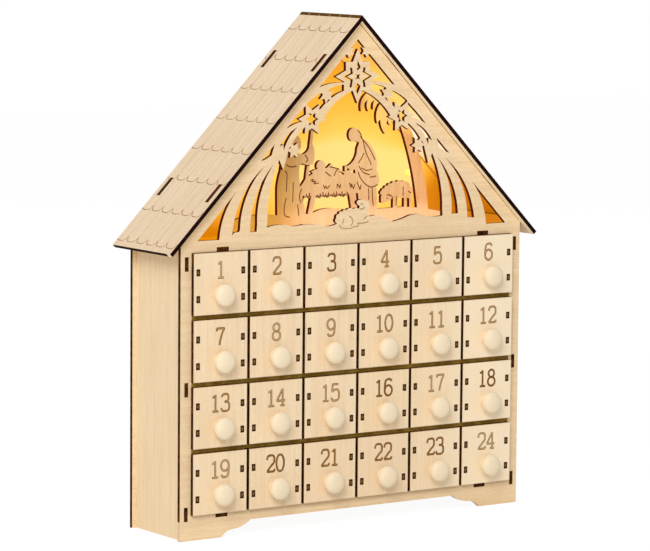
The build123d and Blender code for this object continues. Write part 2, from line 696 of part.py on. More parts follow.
# Battery box on the back panel, with its door, cells, contacts and switch
GROOVE_Y = BACK_Y + BOX_FLOOR + POCKET_DEPTH
POCKET_MID_X = POCKET_LEFT + POCKET_LENGTH / 2
BOX_MID_Z = BOX_BOTTOM + BOX_HEIGHT / 2
SWITCH_X = BOX_LEFT + SWITCH_BAY / 2
SWITCH_WELL = SWITCH_LENGTH + SWITCH_TRAVEL + 4 * FIT
BOX_END = BACK_Y + BOX_DEPTH
with BuildPart() as battery_box:
    with BuildSketch(upright(BOX_END)):
        with Locations((0, BOX_MID_Z)):
            Rectangle(BOX_LENGTH, BOX_HEIGHT)
    extrude(amount=BOX_DEPTH)
    with BuildSketch(upright(BOX_END)):
        with Locations((POCKET_MID_X, BOX_MID_Z)):
            Rectangle(POCKET_LENGTH, POCKET_HEIGHT)
    extrude(amount=BOX_DEPTH - BOX_FLOOR, mode=Mode.SUBTRACT)
    with BuildSketch(upright(GROOVE_Y + GROOVE)):
        with Locations((POCKET_MID_X + BOX_WALL, BOX_MID_Z)):
            Rectangle(POCKET_LENGTH + 2 * BOX_WALL, POCKET_HEIGHT + 2 * DOOR_GROOVE)
    extrude(amount=GROOVE, mode=Mode.SUBTRACT)
    with BuildSketch(upright(BOX_END)):
        with Locations((POCKET_MID_X + POCKET_LENGTH / 2 + BOX_WALL / 2, BOX_MID_Z)):
            Rectangle(BOX_WALL, POCKET_HEIGHT)
    extrude(amount=DOOR_LIP, mode=Mode.SUBTRACT)
    with BuildSketch(upright(BOX_END)):
        with Locations((SWITCH_X, BOX_MID_Z)):
            Rectangle(SWITCH_WIDTH + 4 * FIT, SWITCH_WELL)
    extrude(amount=SWITCH_DEPTH, mode=Mode.SUBTRACT)
save(battery_box.part, "battery_box")

DOOR_LENGTH = POCKET_LENGTH + BOX_WALL - 2 * FIT
DOOR_HEIGHT = POCKET_HEIGHT + 2 * DOOR_GROOVE - 4 * FIT
RIB_X = POCKET_LEFT + 0.25 * POCKET_LENGTH
with BuildPart() as battery_door:
    with BuildSketch(upright(GROOVE_Y + FIT + DOOR)):
        with Locations((POCKET_LEFT + 2 * FIT + DOOR_LENGTH / 2, BOX_MID_Z)):
            Rectangle(DOOR_LENGTH, DOOR_HEIGHT)
    extrude(amount=DOOR)
    with BuildSketch(upright(GROOVE_Y + FIT + DOOR + DOOR_LIP - 2 * FIT)):
        with Locations([(RIB_X + 3 * k, BOX_MID_Z) for k in range(3)]):
            Rectangle(1, 0.6 * POCKET_HEIGHT)
    extrude(amount=DOOR_LIP - 2 * FIT)
save(battery_door.part, "battery_door")

CELL_Y = BACK_Y + BOX_FLOOR + FIT + CELL_RADIUS
CELL_STEP = CELL_RADIUS + CELL_GAP / 2
CELL_START = POCKET_LEFT + CONTACT + FIT
for number, direction in ((1, 1), (2, -1)):
    z = BOX_MID_Z + direction * CELL_STEP
    start = CELL_START if direction > 0 else CELL_START + CELL_LENGTH + NUB_LENGTH
    with BuildPart() as battery:
        with BuildSketch(Plane(origin=(start, CELL_Y, z), x_dir=(0, 1, 0), z_dir=(direction, 0, 0))):
            Circle(CELL_RADIUS)
        extrude(amount=CELL_LENGTH)
        with BuildSketch(Plane(origin=(start, CELL_Y, z), x_dir=(0, 1, 0), z_dir=(direction, 0, 0))):
            Circle(NUB_RADIUS)
        extrude(amount=CELL_LENGTH + NUB_LENGTH)
    save(battery.part, f"battery_{number}")

CONTACT_Y = BACK_Y + BOX_FLOOR + POCKET_DEPTH / 2
CONTACT_HEIGHT = 1.5 * CELL_RADIUS
CONTACT_RIGHT = POCKET_LEFT + POCKET_LENGTH - CONTACT
with BuildPart() as battery_contacts:
    with BuildSketch(sideways(POCKET_LEFT)):
        with Locations([(CONTACT_Y, BOX_MID_Z + k * CELL_STEP) for k in (-1, 1)]):
            Rectangle(CONTACT_HEIGHT, CONTACT_HEIGHT)
    extrude(amount=CONTACT)
    with BuildSketch(sideways(CONTACT_RIGHT)):
        with Locations((CONTACT_Y, BOX_MID_Z)):
            Rectangle(CONTACT_HEIGHT, CONTACT_HEIGHT + 2 * CELL_STEP)
    extrude(amount=CONTACT)
save(battery_contacts.part, "battery_contacts")

with BuildPart() as switch_slider:
    with BuildSketch(upright(BOX_END)):
        with Locations((SWITCH_X, BOX_MID_Z + SWITCH_TRAVEL / 2)):
            Rectangle(SWITCH_WIDTH, SWITCH_LENGTH)
    extrude(amount=SWITCH_DEPTH - FIT)
save(switch_slider.part, "switch_slider")

# Bulbs through the back panel, their sockets behind it, and the wire along the sockets
for number, x in enumerate(LED_X, start=1):
    with BuildPart() as led_bulb:
        with BuildSketch(Plane.XY.offset(LED_Z)):
            with BuildLine():
                tip = BACK_Y - PLY - LED_REACH
                Polyline(
                    (x, tip),
                    (x, BACK_Y + LED_SEAT),
                    (x + LED_RADIUS, BACK_Y + LED_SEAT),
                    (x + LED_RADIUS, tip + LED_RADIUS),
                )
                RadiusArc((x + LED_RADIUS, tip + LED_RADIUS), (x, tip), LED_RADIUS)
            make_face()
        revolve(axis=Axis((x, 0, LED_Z), (0, 1, 0)))
    save(led_bulb.part, f"led_bulb_{number}")

    with BuildPart() as led_socket:
        with BuildSketch(upright(BACK_Y + SOCKET_LENGTH)):
            with Locations((x, LED_Z)):
                Circle(SOCKET_RADIUS)
        extrude(amount=SOCKET_LENGTH)
        with BuildSketch(upright(BACK_Y + LED_SEAT + FIT)):
            with Locations((x, LED_Z)):
                Circle(LED_RADIUS + FIT)
        extrude(amount=LED_SEAT + FIT, mode=Mode.SUBTRACT)
        fillet(led_socket.faces().sort_by(Axis.Y)[-1].edges(), 1.0)
    save(led_socket.part, f"led_socket_{number}")

WIRE_Y = BACK_Y + WIRE_RADIUS + FIT
with BuildPart() as light_wire:
    for left, right in zip(LED_X, LED_X[1:]):
        with BuildSketch(sideways(left + SOCKET_RADIUS + FIT)):
            with Locations((WIRE_Y, LED_Z)):
                Circle(WIRE_RADIUS)
        extrude(amount=right - left - 2 * (SOCKET_RADIUS + FIT))
    with BuildSketch(Plane.XY.offset(BOX_BOTTOM + BOX_HEIGHT)):
        with Locations((LED_X[1], WIRE_Y)):
            Circle(WIRE_RADIUS)
    extrude(amount=LEAD_LENGTH - FIT)
save(light_wire.part, "light_wire")
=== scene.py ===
"""Finishes, engraving, light and camera for a wooden advent calendar with 24 drawers."""

import math

import bmesh
import bpy
from mathutils import Matrix, Vector


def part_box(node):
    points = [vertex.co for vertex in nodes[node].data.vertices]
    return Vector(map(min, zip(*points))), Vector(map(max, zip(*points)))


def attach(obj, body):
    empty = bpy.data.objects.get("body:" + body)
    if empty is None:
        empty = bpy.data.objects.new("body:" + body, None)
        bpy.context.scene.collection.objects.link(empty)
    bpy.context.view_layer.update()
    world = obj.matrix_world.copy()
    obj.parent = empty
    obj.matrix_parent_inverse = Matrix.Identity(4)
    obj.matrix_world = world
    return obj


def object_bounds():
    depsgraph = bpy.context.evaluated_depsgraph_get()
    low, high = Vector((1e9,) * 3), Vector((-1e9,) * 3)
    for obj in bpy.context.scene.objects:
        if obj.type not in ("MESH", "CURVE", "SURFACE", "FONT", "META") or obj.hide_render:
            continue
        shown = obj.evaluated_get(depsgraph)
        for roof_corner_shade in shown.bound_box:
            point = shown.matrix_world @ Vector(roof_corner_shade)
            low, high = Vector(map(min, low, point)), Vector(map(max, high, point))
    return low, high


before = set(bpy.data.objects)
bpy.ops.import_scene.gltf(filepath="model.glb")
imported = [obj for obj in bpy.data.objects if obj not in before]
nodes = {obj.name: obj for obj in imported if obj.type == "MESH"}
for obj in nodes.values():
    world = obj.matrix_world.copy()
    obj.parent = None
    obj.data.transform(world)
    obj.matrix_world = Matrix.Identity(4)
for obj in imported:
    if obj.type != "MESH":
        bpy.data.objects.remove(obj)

cad_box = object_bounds()

MM = 0.001
# places in the CAD frame, in millimetres
COLUMNS, DRAWER_ROWS = 6, 4
PITCH = 47.4  # drawer spacing, both ways
GRID_LEFT = -142.2  # left border of the first column of drawers
GRID_LOW = 16.4  # lower border of the lowest row
PLATE_FRONT, PLATE_BACK = -37.4, -34.4  # faces of the drawers' plates
PANEL_FRONT = -34.2  # face of the front panel
INSIDE_FRONT, INSIDE_BACK = -31.2, 29.8  # inner faces of the front and the back panel
SCENE_FRONT = -10.2  # face of the cut-out scene
FEET_TOP = 14.0  # above the feet's cut walls
FLOOR_TOP = 207.5  # floor of the gable
EAVE = 213.0
RIDGE_IN = 151.58  # front panel's tip above the eave
RIDGE_OUT = 368.84
EAVE_OUT = (161.98, 205.16)  # x and z of the roof's outer lower edge
SLOPE = math.radians(45.3)
SLOPE_X, SLOPE_Z = math.cos(SLOPE), math.sin(SLOPE)
ROOF_LONG = math.hypot(EAVE_OUT[0], RIDGE_OUT - EAVE_OUT[1])  # up the slope
ROOF_FRONT, ROOF_BACK = -39.2, 37.8
# middles of the roof's slots, across it and up the slope from its eave, and half of their burnt rims
ROOF_SLOTS_Y, ROOF_SLOTS_UP = (-32.7, 31.3), (56.9, 183.1)
RIM_HALF_WIDE, RIM_HALF_LONG, RIM_SOFT = 2.1, 8.6, 0.2
# a drawer, from the middle of its plate
PLATE_HALF_WIDE, PLATE_HALF_TALL = 22.6, 21.95
TAB_OUT, TAB_HIGH, TAB_LOW = 18.8, 8.4, 10.5  # middles of the side boards' tab ends
TAB_HALF_WIDE, TAB_HALF_TALL, TAB_SOFT = 1.6, 2.5, 0.12
BOARD_IN = 17.4  # inner face of a side board
BOX_EDGE_LOW = 5.0  # below the upper edges of the box
KNOB_DROP = 8.0  # knob's axis below the middle

# light of the bulbs
BULB_Y, BULB_Z = 24.0, 247.3
LENS_BACK, LENS_TIP = 29.0, 23.5  # between these the lens grows brighter
# x, power and spread of the light round the bulbs, and of the light that the palm throws back
BULB_GLOWS = ((-92.0, 0.7, 22.0), (-27.0, 0.66, 34.0), (27.0, 0.72, 38.0), (92.0, 0.5, 12.0),
              (74.0, 0.66, 40.0))
TIP_GLOW_Z = EAVE + 60, EAVE + 110  # the light gathers in the gable's tip
DIM_X, DIM_Z = (97.0, 112.0), (EAVE + 16, EAVE + 42)  # it fades in the low right corner
# on the right roof panel it is pale between these heights, then yellow, then fading
PALE_Z, YELLOW_Z, FADING_Z = (EAVE + 34, EAVE + 60), (EAVE + 66, EAVE + 94), (EAVE + 100, EAVE + 126)
# borders of the scene's parts that the light tints apart
PALM_Z, PALM_X = (EAVE + 62, EAVE + 76), (18.0, 26.0)
GROUND_Z = EAVE + 8, EAVE + 20
RIGHT_X, FAR_LEFT_X = (-62.0, -12.0), (-66.0, -50.0)


def linear(red, green, blue):
    """The linear colour of an 8-bit screen colour."""
    def one(level):
        level /= 255.0
        return level / 12.92 if level <= 0.04045 else ((level + 0.055) / 1.055) ** 2.4
    return (one(red), one(green), one(blue), 1.0)


# shader kit

CAMERA_RAY, GLOSSY_RAY, TRANSMISSION_RAY = 0, 3, 6  # outputs of the Light Path node


class Val:
    """A socket's value: arithmetic on it adds Math nodes."""

    def __init__(self, kit, socket):
        self.kit, self.socket = kit, socket

    def math(self, operation, *others):
        return self.kit.math(operation, self, *others)

    def __add__(self, other):
        return self.kit.math("ADD", self, other)

    def __sub__(self, other):
        return self.kit.math("SUBTRACT", self, other)

    def __mul__(self, other):
        return self.kit.math("MULTIPLY", self, other)

    def __truediv__(self, other):
        return self.kit.math("DIVIDE", self, other)

    def __radd__(self, other):
        return self.kit.math("ADD", other, self)

    def __rsub__(self, other):
        return self.kit.math("SUBTRACT", other, self)

    def __rmul__(self, other):
        return self.kit.math("MULTIPLY", other, self)

    def __gt__(self, other):
        return self.kit.math("GREATER_THAN", self, other)

    def __lt__(self, other):
        return self.kit.math("LESS_THAN", self, other)

    def __abs__(self):
        return self.kit.math("ABSOLUTE", self)

    def __mod__(self, other):
        return self.kit.math("FLOORED_MODULO", self, other)


class Kit:
    """The nodes of one material or of the world."""

    def __init__(self, tree):
        self.tree = tree

    def node(self, kind, settings=None, sockets=None, out=0):
        made = self.tree.nodes.new(kind)
        for name, value in (settings or {}).items():
            if name == "stops":
                ramp = made.color_ramp.elements
                while len(ramp) < len(value):
                    ramp.new(0.5)
                for stop, (place, colour) in zip(ramp, value):
                    stop.position, stop.color = place, colour
            else:
                setattr(made, name, value)
        for key, value in (sockets or {}).items():
            self.feed(made.inputs[key], value)
        if out is None:
            return [Val(self, socket) for socket in made.outputs]
        return Val(self, made.outputs[out])

    def feed(self, socket, value):
        if isinstance(value, Val):
            self.tree.links.new(value.socket, socket)
        else:
            socket.default_value = value

    def math(self, operation, *values):
        return self.node("ShaderNodeMath", {"operation": operation}, dict(enumerate(values)))

    def mix(self, share, first, second):
        """A colour between two colours."""
        return self.node("ShaderNodeMix", {"data_type": "RGBA"}, {0: share, 6: first, 7: second}, out=2)

    def ramp(self, value, stops):
        return self.node("ShaderNodeValToRGB", {"stops": stops}, {0: value})

    def rise(self, value, low, high):
        """0 below low, 1 above high, smooth between."""
        smooth = {"interpolation_type": "SMOOTHSTEP"}
        return self.node("ShaderNodeMapRange", smooth, {0: value, 1: low, 2: high})

    def within(self, value, half, soft):
        """1 where the value is nearer to zero than half, with a soft border."""
        return 1 - self.rise(abs(value), half - soft, half + soft)

    def noise(self, spot, scale=1.0, detail=2.0, rough=0.5):
        sockets = {"Vector": spot, "Scale": scale, "Detail": detail, "Roughness": rough}
        return self.node("ShaderNodeTexNoise", None, sockets)

    def stretched(self, spot, scale, turn=(0.0, 0.0, 0.0)):
        """A place turned, and then stretched along the axes."""
        if any(turn):
            spot = self.node("ShaderNodeMapping", None, {"Vector": spot, "Rotation": turn})
        return self.node("ShaderNodeMapping", None, {"Vector": spot, "Scale": scale})

    def seen(self):
        """1 for what the camera sees, also in a mirror or through glass."""
        rays = self.node("ShaderNodeLightPath", out=None)
        return rays[CAMERA_RAY].math("MAXIMUM", rays[GLOSSY_RAY]).math("MAXIMUM", rays[TRANSMISSION_RAY])


class Finish(Kit):
    """A procedural material on a piece's own coordinates, in millimetres."""

    def __init__(self, name, **fixed):
        self.material = bpy.data.materials.new(name)
        self.material.use_nodes = True
        super().__init__(self.material.node_tree)
        self.shader = self.tree.nodes["Principled BSDF"]
        for socket, value in fixed.items():
            self.shader.inputs[socket.replace("_", " ")].default_value = value
        own = self.node("ShaderNodeTexCoord", out=3)
        self.spot = self.node("ShaderNodeVectorMath", {"operation": "SCALE"}, {0: own, 3: 1 / MM})
        self.x, self.y, self.z = self.node("ShaderNodeSeparateXYZ", None, {0: self.spot}, out=None)

    def facing(self):
        """The parts of the true surface normal along x, y and z."""
        normal = self.node("ShaderNodeNewGeometry", out=3)
        return self.node("ShaderNodeSeparateXYZ", None, {0: normal}, out=None)

    def cell(self):
        """Place in a drawer's cell, from its centre, and the cell's own random number."""
        u = (self.x - GRID_LEFT) % PITCH - PITCH / 2
        v = (self.z - GRID_LOW) % PITCH - PITCH / 2
        column = ((self.x - GRID_LEFT) / PITCH).math("FLOOR")
        row = ((self.z - GRID_LOW) / PITCH).math("FLOOR")
        index = self.node("ShaderNodeCombineXYZ", None, {0: column, 1: row, 2: 3.0})
        chance = self.node("ShaderNodeTexWhiteNoise", {"noise_dimensions": "3D"}, {0: index}, out=None)
        parts = self.node("ShaderNodeSeparateColor", None, {0: chance[1]}, out=None)
        return u, v, parts

    def bump(self, height, strength, distance):
        self.feed(self.shader.inputs["Normal"], self.node(
            "ShaderNodeBump", None, {"Height": height, "Strength": strength, "Distance": distance}))

    def wear(self, colour, roughness=None):
        self.feed(self.shader.inputs["Base Color"], colour)
        if roughness is not None:
            self.feed(self.shader.inputs["Roughness"], roughness)

    def glow(self, colour, strength):
        self.feed(self.shader.inputs["Emission Color"], colour)
        self.shader.inputs["Emission Strength"].default_value = strength


# wood


# pale, middle and deep tone of each sheet
PLATE_TONE = linear(248, 224, 188), linear(240, 213, 175), linear(222, 190, 148)
FRONT_TONE = linear(247, 218, 177), linear(237, 206, 162), linear(216, 179, 130)
SIDE_TONE = linear(245, 220, 181), linear(236, 210, 169), linear(217, 186, 141)
ROOF_TONE = linear(240, 216, 185), linear(231, 204, 170), linear(210, 179, 141)
SCENE_TONE = linear(240, 203, 156), linear(230, 188, 136), linear(208, 160, 104)
# dark, middle and tan of each burnt wall
CHAR_DARK, CHAR_TAN = linear(40, 13, 1), linear(150, 103, 38)
CHAR = CHAR_DARK, linear(92, 52, 12), CHAR_TAN
# the shelves' burnt front edges are painted lighter: painted light where they sit in shade between the plates
SHELF_CHAR_PAINTED_LIGHT = linear(136, 104, 34), linear(172, 134, 58), linear(198, 160, 88)
# the dividers' burnt front edges are painted darker: painted shade in the narrow gaps between the plates
DIVIDER_CHAR_PAINTED_SHADE = linear(22, 6, 0), linear(44, 18, 3), linear(96, 60, 22)
ROOF_CHAR = linear(18, 0, 0), linear(34, 4, 0), linear(62, 28, 4)
ROOF_TOP_CHAR_PAINTED_LIGHT = linear(92, 60, 10)  # burnt roof edges that look up, painted lighter as light from above
SLOT_RIM = linear(92, 62, 16)
INSIDE = (0.25, 0.17, 0.03, 1.0)  # painted shade: wood inside the gable darkened, so that only the bulbs' painted glow lights it
BLACK = (0.0, 0.0, 0.0, 1.0)
GRAIN_X, GRAIN_Z = (0.010, 0.30, 0.30), (0.30, 0.30, 0.010)  # scale of the grain along x and along z
UNTURNED = (0.0, 0.0, 0.0)
GRAIN_BUMP, PLASTIC_BUMP = (0.25, 0.0002), (0.2, 0.0002)  # strength and distance
PALER_X = 40.0, 130.0  # drawers to the right are paler
# from the dimmest to the brightest spot
GLOW_STOPS = [
    (0.00, linear(168, 92, 0)), (0.28, linear(196, 116, 2)), (0.60, linear(240, 170, 50)),
    (0.84, linear(247, 199, 88)), (1.00, linear(252, 216, 130))]


def sanded(f, tone, grain, turn=UNTURNED, streak=0.5):
    """Colour and height of a pale sanded ply face: slow clouds, broad grain and fine pores."""
    pale, middle, deep = tone
    broad = f.noise(f.stretched(f.spot, grain, turn), 1.0, 3.0, 0.6)
    fine = f.noise(f.stretched(f.spot, tuple(4 * g for g in grain), turn), 1.0, 4.0, 0.7)
    slow = f.noise(f.spot, 0.012, 1.0, 0.5)
    mottle = f.noise(f.spot, 0.45, 3.0, 0.65)
    colour = f.mix(f.rise(broad * 0.5 + slow * 0.25 + mottle * 0.25, 0.38, 0.62), pale, middle)
    speck = f.noise(f.spot, 1.1, 2.0, 0.7)
    colour = f.mix(f.rise(fine, 0.50, 0.75) * streak, colour, deep)
    colour = f.mix(f.rise(speck, 0.48, 0.78) * 0.3, colour, deep)
    return colour, broad * 0.4 + fine * 0.6


def charred(f, tones=CHAR):
    """Colour of a laser-cut wall: burnt brown, with lighter patches."""
    dark, middle, tan = tones
    patch = f.noise(f.spot, 0.16, 3.0, 0.6)
    lines = f.noise(f.spot, 1.3, 2.0, 0.5)
    colour = f.mix(f.rise(patch * 0.7 + lines * 0.3, 0.42, 0.64), dark, middle)
    return f.mix(f.rise(lines, 0.60, 0.80) * 0.4, colour, tan)


def ply_sheet(name, tone, normal, grain, turn=UNTURNED, char=CHAR):
    """Ply whose sheet faces lie along the normal, with burnt cut walls."""
    f = Finish(name, Specular_IOR_Level=0.08)
    f.nx, f.ny, f.nz = f.facing()
    along = sum((n * part for n, part in zip((f.nx, f.ny, f.nz), normal) if part), 0.0)
    cut = 1 - f.rise(abs(along), 0.35, 0.75)
    face, height = sanded(f, tone, grain, turn)
    burnt = charred(f, char)
    # painted light: burnt roof edges that look up are made lighter
    if char is ROOF_CHAR:
        burnt = f.mix(f.rise(f.nz, 0.2, 0.5), burnt, ROOF_TOP_CHAR_PAINTED_LIGHT)
    f.colour = f.mix(cut, face, burnt)
    f.wear(f.colour, 0.62 + 0.22 * cut)
    f.bump(height, *GRAIN_BUMP)
    f.cut = cut
    return f


def lit_by_bulbs(f, inside, overlay=None):
    """The warm light that the bulbs throw on the inside of the gable, under a share of another colour."""
    lit = 0.35 * f.rise(f.z, *TIP_GLOW_Z)
    for x, power, wide in BULB_GLOWS:
        near = 0.0
        for place, centre in ((f.x, x), (f.y, BULB_Y), (f.z, BULB_Z)):
            apart = (place - centre) / wide
            near = near + apart * apart
        lit = lit + power * (near * -0.5).math("EXPONENT")
    lit = lit * (1 - 0.5 * f.rise(f.x, *DIM_X) * (1 - f.rise(f.z, *DIM_Z)))
    cloud = f.noise(f.spot, 0.03, 2.0, 0.5) - 0.5
    warm = f.ramp(lit + cloud * 0.16, GLOW_STOPS)
    if overlay:
        share, colour = overlay
        warm = f.mix(share, warm, colour)
    # painted shade under painted light: inside faces darkened, then given the bulbs' warm glow
    f.wear(f.mix(inside, f.colour, INSIDE))
    f.glow(f.mix(inside, BLACK, warm), 1.0)
    return f.material


def drawer_wood():
    """Drawers: face plate with burnt rim and tab ends, turned knob, plain box."""
    f = Finish("drawer_ply", Specular_IOR_Level=0.1)
    u, v, chance = f.cell()
    nx, ny, nz = f.facing()
    shift = f.node("ShaderNodeCombineXYZ", None, {axis: chance[axis] * 400 for axis in range(3)})
    moved = f.node("ShaderNodeVectorMath", {"operation": "ADD"}, {0: f.spot, 1: shift})
    true_spot, f.spot = f.spot, moved
    face, height = sanded(f, PLATE_TONE, GRAIN_Z, streak=0.22)
    f.spot = true_spot
    face = f.mix(f.rise(chance[0], 0.3, 1.0) * 0.30, face, linear(247, 220, 174))
    face = f.mix(f.rise(chance[1], 0.4, 1.0) * 0.25, face, linear(241, 213, 181))
    face = f.mix(f.rise(f.x, *PALER_X) * 0.8, face, linear(254, 235, 203))
    plate = f.y < PLATE_BACK + 0.1
    # tab ends of the drawer's sides, flush in the plate
    tab_u = abs(u) - TAB_OUT
    tab_v = abs(v + (TAB_LOW - TAB_HIGH) / 2) - (TAB_LOW + TAB_HIGH) / 2
    tab = f.within(tab_u, TAB_HALF_WIDE, TAB_SOFT) * f.within(tab_v, TAB_HALF_TALL, TAB_SOFT)
    heart = f.within(tab_u, 0.8, 0.3) * f.within(tab_v, 1.2, 0.5)
    # brown rim along the plate's laser-cut border
    rim_u = f.rise(abs(u), PLATE_HALF_WIDE - 0.7, PLATE_HALF_WIDE)
    rim_v = f.rise(abs(v), PLATE_HALF_TALL - 0.65, PLATE_HALF_TALL)
    rim = rim_u.math("MAXIMUM", rim_v)
    front = (ny < -0.7) * (f.y < PLATE_FRONT + 0.05) * (f.y > PLATE_FRONT - 0.05)
    wall = plate * (abs(ny) < 0.7)
    box_end = (f.y > PLATE_BACK) * (nz > 0.7) * (v > BOX_EDGE_LOW)
    box_end = box_end.math("MAXIMUM", (f.y > PLATE_BACK) * (abs(ny) > 0.7) * (abs(u) > BOARD_IN))
    burnt = wall.math("MAXIMUM", box_end)
    # painted light and shade: burnt walls that face up or down are lighter, those that face sideways stay
    # dark
    brown = f.mix(0.4 - 0.4 * (abs(nx) > 0.7), charred(f), CHAR_TAN)
    colour = f.mix(rim * front * 0.28, face, CHAR_TAN)
    colour = f.mix(tab * front, colour, f.mix(heart, CHAR_DARK, linear(122, 86, 40)))
    colour = f.mix(burnt, colour, brown)
    # knob
    knob = f.y < PLATE_FRONT - 0.06
    across = (u * u + (v + KNOB_DROP) * (v + KNOB_DROP)).math("SQRT")
    turned = f.node("ShaderNodeCombineXYZ", None, {0: across, 1: f.y, 2: chance[2] * 90})
    rings = f.noise(turned, 0.9, 2.0, 0.5)
    cream = f.mix(f.rise(rings, 0.35, 0.7) * 0.25, linear(243, 225, 193), linear(236, 215, 181))
    colour = f.mix(knob, colour, cream)
    f.wear(colour, 0.60 - 0.14 * knob + 0.18 * burnt)
    f.bump(height * (1 - knob) + rings * knob * 0.3, *GRAIN_BUMP)
    return f.material


# plastic, metal and light


def moulded(name, colour, grain, rough):
    """Moulded plastic with a fine texture."""
    f = Finish(name, Specular_IOR_Level=0.45)
    cloud = f.noise(f.spot, 0.08, 2.0, 0.5)
    pits = f.noise(f.spot, grain, 2.0, 0.6)
    darker = tuple(0.82 * part for part in colour[:3]) + (1.0,)
    f.wear(f.mix(f.rise(cloud, 0.3, 0.7), colour, darker), rough + 0.12 * (pits - 0.5))
    f.bump(pits, *PLASTIC_BUMP)
    return f.material


def cell_jacket():
    """Cells with a plain two-tone sleeve and bright ends."""
    f = Finish("cell_sleeve", Specular_IOR_Level=0.5)
    low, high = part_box("battery_1")
    middle = (low.x + high.x) / 2 / MM
    half = (high.x - low.x) / 2 / MM
    ends = f.rise(abs(f.x - middle), half - 1.6, half - 1.2)
    band = f.rise(f.x, middle + 0.42 * half, middle + 0.45 * half)
    brush = f.noise(f.stretched(f.spot, (0.2, 3.0, 3.0)), 1.0, 2.0, 0.5)
    sleeve = f.mix(band, linear(150, 154, 162), linear(196, 199, 204))
    colour = f.mix(ends, sleeve, linear(196, 196, 192))
    f.wear(f.mix(0.18 * brush, colour, linear(20, 20, 22)), 0.32 + 0.1 * brush)
    f.feed(f.shader.inputs["Metallic"], ends * 0.9)
    return f.material


def spring_steel():
    """Brushed steel of the battery contacts."""
    f = Finish("contact_plate", Metallic=1.0)
    brush = f.noise(f.stretched(f.spot, (3.0, 3.0, 0.3)), 1.0, 2.0, 0.5)
    f.wear(f.mix(brush, linear(206, 205, 200), linear(168, 167, 162)), 0.24 + 0.16 * brush)
    return f.material


def bulb_lens():
    """Warm bulb lens, brighter towards its tip."""
    f = Finish("bulb_lens", Roughness=0.25)
    tip = f.rise(f.y, LENS_BACK, LENS_TIP)
    frost = f.noise(f.spot, 0.9, 2.0, 0.5)
    f.wear(f.mix(frost * 0.4, linear(255, 226, 160), linear(250, 206, 120)))
    f.glow(f.mix(tip, linear(252, 180, 70), linear(255, 214, 120)), 0.9)
    return f.material


def scorched_line(name, dark, light):
    """A brown line: laser-engraved, except the painted shadow along the gable's edge. Its brown changes from
    drawer to drawer and along the line.
    """
    f = Finish(name, Specular_IOR_Level=0.05)
    _, _, chance = f.cell()
    patch = f.noise(f.spot, 0.35, 2.0, 0.6)
    f.wear(f.mix(f.rise(chance[1] * 0.4 + patch * 0.6, 0.25, 0.75), dark, light), 0.75 + 0.1 * patch)
    return f.material


base_ply = ply_sheet("base_ply", PLATE_TONE, (0, 0, 1), GRAIN_X).material
divider_ply = ply_sheet("divider_ply", SIDE_TONE, (1, 0, 0), GRAIN_Z, char=DIVIDER_CHAR_PAINTED_SHADE).material
shelf_ply = ply_sheet("shelf_ply", PLATE_TONE, (0, 0, 1), GRAIN_X, char=SHELF_CHAR_PAINTED_LIGHT).material


def front_sheet():
    """The front panel: red light in the cut walls of its fretwork, pale walls at its feet."""
    f = ply_sheet("front_ply", FRONT_TONE, (0, 1, 0), GRAIN_X)
    red = f.cut * (f.z > EAVE + 2) * (f.y > PANEL_FRONT + 0.3)
    # the feet's cut walls are given the panel's pale tone
    pale_feet_walls = f.mix(f.cut * (f.z < FEET_TOP) * 0.8, f.colour, FRONT_TONE[0])
    f.wear(f.mix(red * 0.75, pale_feet_walls, linear(36, 8, 0)))
    f.glow(f.mix(red, BLACK, linear(70, 8, 0)), 0.8)
    return f.material


def scene_panel():
    """The cut-out scene: warm from the bulbs around it, most of all in its palm and its ground."""
    f = ply_sheet("scene_ply", SCENE_TONE, (0, 1, 0), GRAIN_Z)
    palm = f.rise(f.z, *PALM_Z) * f.rise(f.x, *PALM_X)
    ground = 1 - f.rise(f.z, *GROUND_Z)
    right = f.rise(f.x, *RIGHT_X)
    face = 1 - f.cut
    # painted shade and light: the palm's face darkened under its glow, the faces towards the left painted
    # amber as if lit by the bulbs
    lit_and_shaded_face = f.mix(palm * face * 0.8, f.colour, INSIDE)
    lit_and_shaded_face = f.mix((1 - right) * face * 0.8, lit_and_shaded_face, linear(228, 180, 84))
    # painted light: the cut walls are painted dark red here and given a red glow below
    f.wear(f.mix(f.cut * 0.7, lit_and_shaded_face, linear(40, 8, 0)))
    warm = f.mix(right, linear(56, 48, 0), linear(88, 68, 30))
    # painted light: the ground at the far left, behind the front panel's tails, glows brighter
    far_left = 1 - f.rise(f.x, *FAR_LEFT_X)
    left_ground = f.mix(far_left, linear(112, 88, 16), linear(156, 138, 42))
    warm = f.mix(ground, warm, f.mix(right, left_ground, linear(166, 154, 120)))
    warm = f.mix(palm, warm, linear(246, 202, 114))
    f.glow(f.mix(abs(f.ny) > 0.6, linear(84, 8, 0), warm), 0.8)
    return f.material


def side_sheet(name, side):
    """A side panel, with the bulbs' light on its inside above the floor."""
    f = ply_sheet(name, SIDE_TONE, (1, 0, 0), GRAIN_Z)
    return lit_by_bulbs(f, (f.nx * side < -0.5) * (f.z > FLOOR_TOP), (0.5, linear(200, 124, 28)))


def inner_floor():
    """The floor of the gable, lit from above."""
    f = ply_sheet("inner_floor_ply", PLATE_TONE, (0, 0, 1), GRAIN_X)
    return lit_by_bulbs(f, f.nz > 0.5, (0.7, linear(215, 130, 0)))


